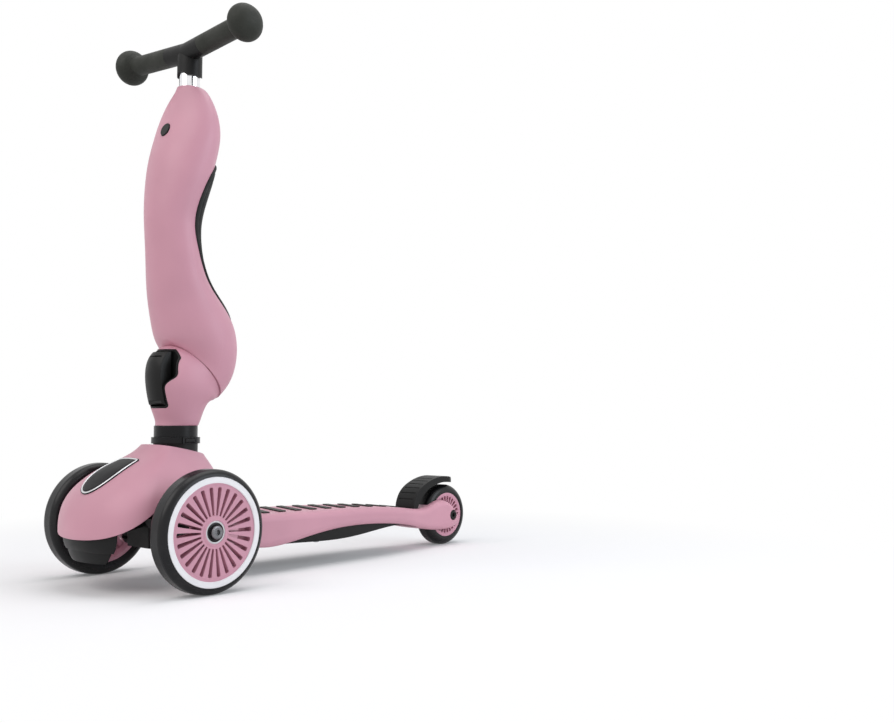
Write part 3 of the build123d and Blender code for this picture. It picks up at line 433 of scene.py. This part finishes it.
def pad_outline():
    """The pad's closed outline seen from behind, as Y and Z, evenly spaced and eased."""
    low, high = (corner[2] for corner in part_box("seat_pad"))
    turns = np.linspace(0.0, math.pi, CUSHION_LEVELS + 1)
    levels = 0.5 * (low + high) + 0.5 * (high - low) * np.cos(turns)
    shell = half_widths("seat_shell", levels)
    shares = np.zeros(len(levels))
    shares[1:-1] = np.minimum(half_widths("seat_pad", levels[1:-1]) / shell[1:-1], CUSHION_REACH)
    for _ in range(CUSHION_EASING):
        shares[1:-1] = 0.25 * shares[:-2] + 0.5 * shares[1:-1] + 0.25 * shares[2:]
    widths = shares * shell
    run = np.concatenate(([0.0], np.cumsum(np.hypot(np.diff(widths), np.diff(levels)))))
    even = np.linspace(0.0, run[-1], CUSHION_SIDE + 1)
    half = np.stack((np.interp(even, run, widths), np.interp(even, run, levels)), axis=1)
    return np.concatenate((half, half[-2:0:-1] * np.array((-1.0, 1.0))))


class SeatBack:
    """The rear of the seat shell, seen from behind."""

    def __init__(self):
        self.tree = world_tree("seat_shell")
        self.from_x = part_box("seat_shell")[0][0] - RAY_RUN

    def at(self, y, z):
        """The shell's point there, and its normal evened out over a few millimetres."""
        place = self.tree.ray_cast(Vector((self.from_x, y, z)), AHEAD)[0]
        out = Vector((0.0, 0.0, 0.0))
        for side in NORMAL_STEPS:
            for up in NORMAL_STEPS:
                hit, normal = self.tree.ray_cast(Vector((self.from_x, y + side, z + up)), AHEAD)[:2]
                if hit is not None:
                    out += normal if normal.x < 0 else -normal
        return place, out.normalized()


def seat_cushion():
    """The cushion in place of the pad; insets shrink where the shell turns away, and match on both sides."""
    back = SeatBack()
    outline = pad_outline()
    slope = np.array([abs(back.at(y, z)[1].x) for y, z in outline])[:, None]
    slope = 0.5 * (slope + np.roll(slope[::-1], 1, axis=0))
    inward = drawn_in(outline, 1.0) - outline
    low, high = outline[:, 1].min() + SPINE_ENDS[0], outline[:, 1].max() - SPINE_ENDS[1]

    def ring(edge, share, height):
        spine = np.stack((np.zeros(len(edge)), np.clip(edge[:, 1], low, high)), axis=1)
        points = []
        for y, z in edge + share * (spine - edge):
            place, out = back.at(y, z)
            points.append(place + height * out)
        return points

    rings = [ring(outline, share, CUSHION_BED) for share in CUSHION_BED_SHARES]
    for inset, height in CUSHION_BORDER:
        edge = outline + inset * slope * inward
        rings.append(ring(edge, 0.0, height))
    # The crown goes on from the border's last edge and height.
    for share in CUSHION_SHARES:
        rise = math.sin(QUARTER_TURN * share)
        rings.append(ring(edge, share, height + (CUSHION_CROWN - height) * rise))
    cushion = new_piece("seat_cushion", ring_mesh("seat_cushion", rings, False), "seat", "pad")
    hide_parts("seat_pad")


# Plate on the nose: a bare dark face in a thin metal rim with a dark border.
# Top and tip are places along X; a ring has an inset or a share towards the middle line, and a height.
PLATE_TOP = 0.227
PLATE_TIP = 0.2755
PLATE_MARGIN = 0.002
PLATE_TOP_HALF = 0.0185
PLATE_HALF = 0.0220
PLATE_CORNER = 0.004
PLATE_ROUND_START = 0.5
PLATE_SPINE_END = 0.9 * PLATE_HALF
EDGE_RINGS = ((0.0, -0.0006), (0.0, 0.0007), (0.0002, 0.0010),
              (0.0008, 0.0011), (0.0010, 0.0009), (0.0010, -0.0006))
RIM_RINGS = ((0.0009, -0.0006), (0.0009, 0.0011), (0.0012, 0.0014),
             (0.0024, 0.0014), (0.0027, 0.0010), (0.0027, -0.0006))
FACE_INSET = 0.0026
FACE_BED = -0.0004
FACE_BED_SHARES = (1.0, 0.75, 0.5, 0.25, 0.0)
FACE_RINGS = ((0.0, 0.0006), (0.08, 0.0007), (0.11, 0.0010), (0.15, 0.0011), (0.25, 0.0011), (0.35, 0.0012),
              (0.5, 0.0012), (0.65, 0.0013), (0.8, 0.0013), (0.9, 0.0013), (1.0, 0.0013))
TOP_STEPS = 10
CORNER_STEPS = 5
SIDE_STEPS = 12
TIP_STEPS = 20
NOSE_SAMPLES = 60
NOSE_RAY_HEIGHT = 0.5
NOSE_RAY_LIFT = 0.03


class NoseLine:
    """The nose's middle line from the top of the plate to its tip, and the surface beside it."""

    def __init__(self):
        self.tree = world_tree("nose_shell")
        points = []
        for x in np.linspace(PLATE_TOP - PLATE_MARGIN, PLATE_TIP + PLATE_MARGIN, NOSE_SAMPLES):
            hit = self.tree.ray_cast(Vector((x, 0.0, NOSE_RAY_HEIGHT)), DOWN)[0]
            points.append((hit.x, hit.z))
        self.points = np.array(points)
        steps = np.hypot(*np.diff(self.points, axis=0).T)
        self.run = np.concatenate(([0.0], np.cumsum(steps)))
        slope = np.gradient(self.points, self.run, axis=0)
        self.normals = np.stack((-slope[:, 1], slope[:, 0]), axis=1)

    def length(self):
        return self.run[-1]

    def at(self, s, y, height):
        """A point this far along and beside the line, lifted off the surface."""
        x, z = (np.interp(s, self.run, column) for column in self.points.T)
        out_x, out_z = (np.interp(s, self.run, column) for column in self.normals.T)
        out = Vector((out_x, 0.0, out_z)).normalized()
        start = Vector((x, y, z)) + NOSE_RAY_LIFT * out
        place, normal = self.tree.ray_cast(start, -out)[:2]
        return place + height * normal


def plate_outline(length):
    """Closed outline, along the nose and to the side: square top, full sides, round tip."""
    corner_start = PLATE_TOP_HALF - PLATE_CORNER
    half = [(0.0, corner_start * k / TOP_STEPS) for k in range(TOP_STEPS)]
    for k in range(CORNER_STEPS + 1):
        turn = QUARTER_TURN * k / CORNER_STEPS
        half.append((PLATE_CORNER * (1 - math.cos(turn)), corner_start + PLATE_CORNER * math.sin(turn)))
    round_start = PLATE_ROUND_START * length
    for k in range(1, SIDE_STEPS):
        share = k / SIDE_STEPS
        bulge = (PLATE_HALF - PLATE_TOP_HALF) * math.sin(QUARTER_TURN * share)
        half.append((PLATE_CORNER + share * (round_start - PLATE_CORNER), PLATE_TOP_HALF + bulge))
    for k in range(TIP_STEPS + 1):
        turn = QUARTER_TURN * k / TIP_STEPS
        half.append((round_start + (length - round_start) * math.sin(turn), PLATE_HALF * math.cos(turn)))
    other = [(s, -y) for s, y in reversed(half[1:-1])]
    return np.array(half + other)


def nose_plate():
    line = NoseLine()
    outline = plate_outline(line.length() - 2 * PLATE_MARGIN) + np.array((PLATE_MARGIN, 0.0))
    for name, rings, finish, slot in (("nose_plate_edge", EDGE_RINGS, "gloss", "black_plastic"),
                                      ("nose_plate_rim", RIM_RINGS, "rim", "steel")):
        hoop = [[line.at(s, y, height) for s, y in drawn_in(outline, inset)] for inset, height in rings]
        new_piece(name, ring_mesh(name, hoop, True), "base", finish)
    edge = drawn_in(outline, FACE_INSET)
    spine_low = edge[:, 0].min() + PLATE_SPINE_END
    spine_high = edge[:, 0].max() - PLATE_SPINE_END
    spine = np.stack((np.clip(edge[:, 0], spine_low, spine_high), np.zeros(len(edge))), axis=1)
    rings = [(share, FACE_BED) for share in FACE_BED_SHARES] + list(FACE_RINGS)
    face = [[line.at(s, y, height) for s, y in edge + share * (spine - edge)] for share, height in rings]
    new_piece("nose_plate_face", ring_mesh("nose_plate_face", face, False), "base", "plate")


# Turned pieces: button screws that hold the keel under the deck, and the seals of the front wheels' bearings.
# A screw's ring has shares of its radius and height, and says whether it is six-sided.
TURNED_SIDES = 48
SIXTH_TURN = math.pi / 3
SCREW_PLACES = ((0.085, 0.026), (0.085, -0.026), (0.0, 0.027), (0.0, -0.027),
                (-0.09, 0.022), (-0.09, -0.022))
SCREW_RADIUS = 0.0042
SCREW_HEIGHT = 0.0021
SCREW_RINGS = ((0.0, -0.4, False), (1.0, -0.4, False), (1.0, 0.25, False), (0.92, 0.6, False),
               (0.75, 0.88, False), (0.56, 1.0, False), (0.46, 1.0, True), (0.44, 0.3, True),
               (0.0, 0.24, True))
SCREW_RAY_LOW = -0.1
SEAL_RINGS = ((0.0060, -0.0001), (0.0061, 0.00015), (0.0066, 0.00030), (0.0074, 0.00022), (0.0082, 0.00022),
              (0.0088, 0.00030), (0.0093, 0.00015), (0.0094, -0.0001))


def turned(name, place, out, rings, body, finish, hoop):
    """A turned form along a direction: each ring has a radius, a height and may be six-sided."""
    across = out.orthogonal().normalized()
    beside = out.cross(across)
    loops = []
    for radius, height, six in rings:
        loop = []
        for k in range(TURNED_SIDES):
            turn = 2 * math.pi * k / TURNED_SIDES
            reach = radius
            if six:
                local = (turn + SIXTH_TURN / 2) % SIXTH_TURN - SIXTH_TURN / 2
                reach = radius * math.cos(SIXTH_TURN / 2) / math.cos(local)
            loop.append(place + height * out + reach * (math.cos(turn) * across + math.sin(turn) * beside))
        loops.append(loop)
    new_piece(name, ring_mesh(name, loops, hoop), body, finish)


def keel_screws():
    """Domed heads with a hexagon socket."""
    rings = [(radius * SCREW_RADIUS, height * SCREW_HEIGHT, six) for radius, height, six in SCREW_RINGS]
    keel = world_tree("underframe")
    for index, (x, y) in enumerate(SCREW_PLACES):
        place, normal = keel.ray_cast(Vector((x, y, SCREW_RAY_LOW)), UP)[:2]
        out = normal if normal.z < 0 else -normal
        turned(f"keel_screw_{index + 1}", place, out, rings, "base", "steel", False)


def bearing_seals():
    """Dark seals in the outer faces of the front bearings."""
    rings = [(radius, height, False) for radius, height in SEAL_RINGS]
    for side, sign in (("left", 1.0), ("right", -1.0)):
        low, high = (Vector(corner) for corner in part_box(f"front_bearings_{side}"))
        middle = 0.5 * (low + high)
        face = high.y if sign > 0 else low.y
        place = Vector((middle.x, face, middle.z))
        turned(f"bearing_seal_{side}", place, Vector((0.0, sign, 0.0)), rings, f"front_wheel_{side}",
               "gloss", True)


def bare_tree(owner):
    """Calls that add and link nodes in the owner's emptied node tree."""
    owner.use_nodes = True
    tree = owner.node_tree
    tree.nodes.clear()
    return tree.nodes.new, tree.links.new


def floor():
    """A pale floor that keeps the shadow near the object and fades to white to the eye and in reflections."""
    mesh = bpy.data.meshes.new("floor")
    corners = [(-FLOOR_HALF, -FLOOR_HALF, 0), (FLOOR_HALF, -FLOOR_HALF, 0),
               (FLOOR_HALF, FLOOR_HALF, 0), (-FLOOR_HALF, FLOOR_HALF, 0)]
    mesh.from_pydata(corners, [], [(0, 1, 2, 3)])
    obj = bpy.data.objects.new("floor", mesh)
    scene.collection.objects.link(obj)
    material = bpy.data.materials.new("pale_floor")
    add, link = bare_tree(material)
    out = add("ShaderNodeOutputMaterial")
    matte = add("ShaderNodeBsdfDiffuse")
    matte.inputs["Color"].default_value = FLOOR_PALE
    glow = add("ShaderNodeEmission")
    glow.inputs["Color"].default_value = WHITE
    glow.inputs["Strength"].default_value = 1.0
    mix = add("ShaderNodeMixShader")
    path = add("ShaderNodeLightPath")
    place = add("ShaderNodeTexCoord")
    reach = add("ShaderNodeVectorMath")
    reach.operation = "LENGTH"
    fade = add("ShaderNodeMapRange")
    fade.interpolation_type = "SMOOTHSTEP"
    fade.inputs["From Min"].default_value, fade.inputs["From Max"].default_value = FLOOR_FADE
    fade.inputs["To Min"].default_value = FLOOR_NEAR_WHITE
    seen = add("ShaderNodeMath")
    seen.operation = "MAXIMUM"
    share = add("ShaderNodeMath")
    share.operation = "MULTIPLY"
    link(place.outputs["Object"], reach.inputs[0])
    link(reach.outputs["Value"], fade.inputs["Value"])
    link(path.outputs["Is Camera Ray"], seen.inputs[0])
    link(path.outputs["Is Glossy Ray"], seen.inputs[1])
    link(fade.outputs["Result"], share.inputs[0])
    link(seen.outputs["Value"], share.inputs[1])
    link(share.outputs["Value"], mix.inputs["Fac"])
    link(matte.outputs["BSDF"], mix.inputs[1])
    link(glow.outputs["Emission"], mix.inputs[2])
    link(mix.outputs["Shader"], out.inputs["Surface"])
    mesh.materials.append(material)


def surroundings():
    """White to the eye and to bright metal, and a softer cool level as light."""
    world = bpy.data.worlds.new("studio")
    scene.world = world
    add, link = bare_tree(world)
    out = add("ShaderNodeOutputWorld")
    white = add("ShaderNodeBackground")
    white.inputs["Color"].default_value = WHITE
    soft = add("ShaderNodeBackground")
    soft.inputs["Color"].default_value = SOFT_SKY
    soft.inputs["Strength"].default_value = SOFT_SKY_LEVEL
    path = add("ShaderNodeLightPath")
    first = add("ShaderNodeMath")
    first.operation = "MAXIMUM"
    second = add("ShaderNodeMath")
    second.operation = "MAXIMUM"
    mix = add("ShaderNodeMixShader")
    link(path.outputs["Is Camera Ray"], first.inputs[0])
    link(path.outputs["Is Glossy Ray"], first.inputs[1])
    link(first.outputs["Value"], second.inputs[0])
    link(path.outputs["Is Transmission Ray"], second.inputs[1])
    link(second.outputs["Value"], mix.inputs["Fac"])
    link(soft.outputs["Background"], mix.inputs[1])
    link(white.outputs["Background"], mix.inputs[2])
    link(mix.outputs["Shader"], out.inputs["Surface"])


def soft_light(name, place, aim, size, watts, colour):
    data = bpy.data.lights.new(name, "AREA")
    data.shape = "DISK"
    data.size = size
    data.energy = watts
    data.color = colour
    obj = bpy.data.objects.new(name, data)
    scene.collection.objects.link(obj)
    obj.location = place
    obj.rotation_mode = "QUATERNION"
    obj.rotation_quaternion = (Vector(aim) - Vector(place)).to_track_quat("-Z", "Y")


def camera():
    yaw, pitch, roll = (math.radians(angle) for angle in (CAMERA_YAW, CAMERA_PITCH, CAMERA_ROLL))
    forward = Vector((math.cos(yaw) * math.cos(pitch), math.sin(yaw) * math.cos(pitch), math.sin(pitch)))
    right = forward.cross(UP).normalized()
    down = forward.cross(right)
    turned_right = math.cos(roll) * right + math.sin(roll) * down
    turned_down = -math.sin(roll) * right + math.cos(roll) * down
    data = bpy.data.cameras.new("main_camera")
    data.lens = CAMERA_LENS
    data.sensor_width = SENSOR_WIDTH
    data.sensor_fit = "HORIZONTAL"
    obj = bpy.data.objects.new("main_camera", data)
    scene.collection.objects.link(obj)
    axes = Matrix((turned_right, -turned_down, -forward)).transposed()
    obj.matrix_world = Matrix.Translation(CAMERA_PLACE) @ axes.to_4x4()
    scene.camera = obj


dress_frame()
seat_cushion()
nose_plate()
keel_screws()
bearing_seals()
floor()
surroundings()
soft_light("key", **KEY_LIGHT)
soft_light("top", **TOP_LIGHT)
soft_light("fill", **FILL_LIGHT)
camera()
scene.view_settings.view_transform = "Standard"
